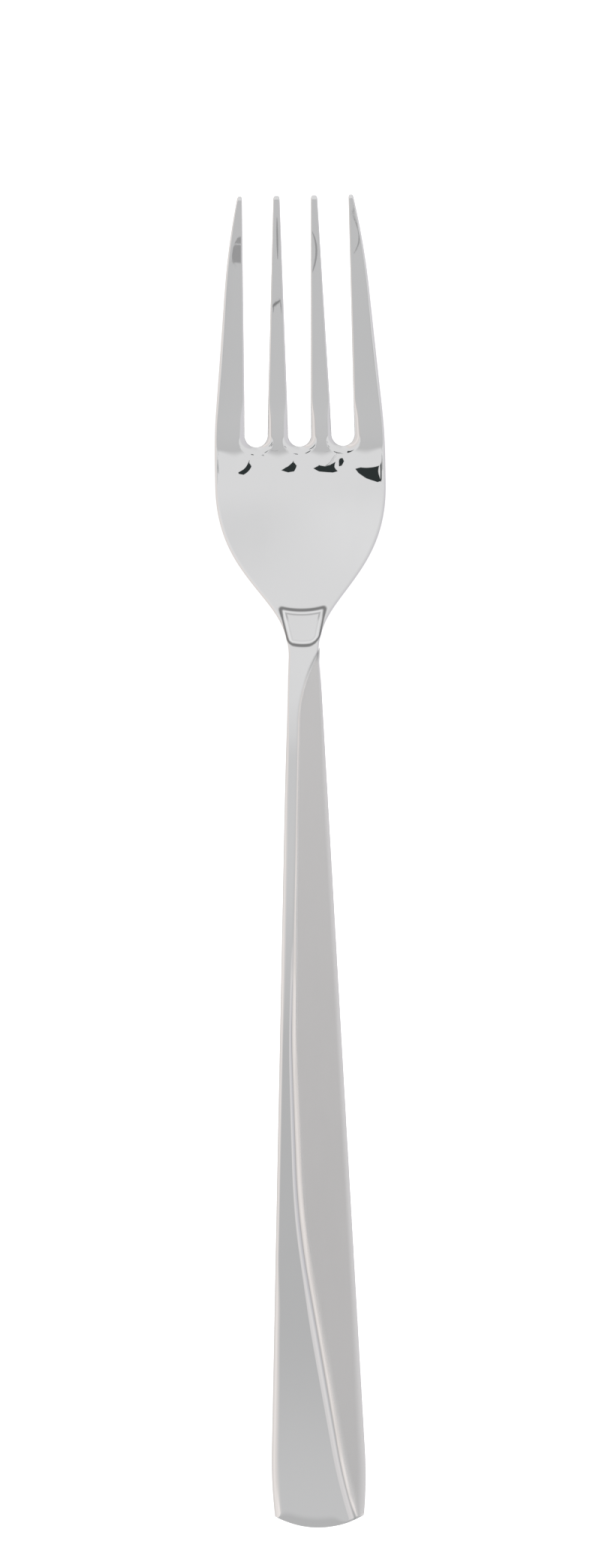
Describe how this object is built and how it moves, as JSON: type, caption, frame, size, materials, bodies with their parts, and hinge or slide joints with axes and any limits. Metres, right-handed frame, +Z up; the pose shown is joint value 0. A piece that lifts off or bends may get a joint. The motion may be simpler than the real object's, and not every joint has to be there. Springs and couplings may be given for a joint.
{
  "type": "dinner fork",
  "caption": "Dinner fork with slender tines, a dished palm, a bent neck and a tapered handle, whose face a curved groove splits into a polished strip and a satin panel.",
  "frame": {"origin": "on the table, below the middle of the fork's length and width", "axes": "+X across the head, +Y along the fork towards the tine points, +Z up, with the fork lying face up"},
  "size_m": [0.0266, 0.205, 0.0154],
  "materials": {
    "polished_steel": "mirror polished stainless steel",
    "satin_steel": "fine satin, brushed along the handle"
  },
  "bodies": {
    "root": {"tine_1": "polished_steel", "tine_2": "polished_steel", "tine_3": "polished_steel", "tine_4": "polished_steel", "palm": "polished_steel", "neck": "polished_steel", "handle": "polished_steel", "satin_panel": "satin_steel", "handle_end": "polished_steel"}
  },
  "joints": []
}
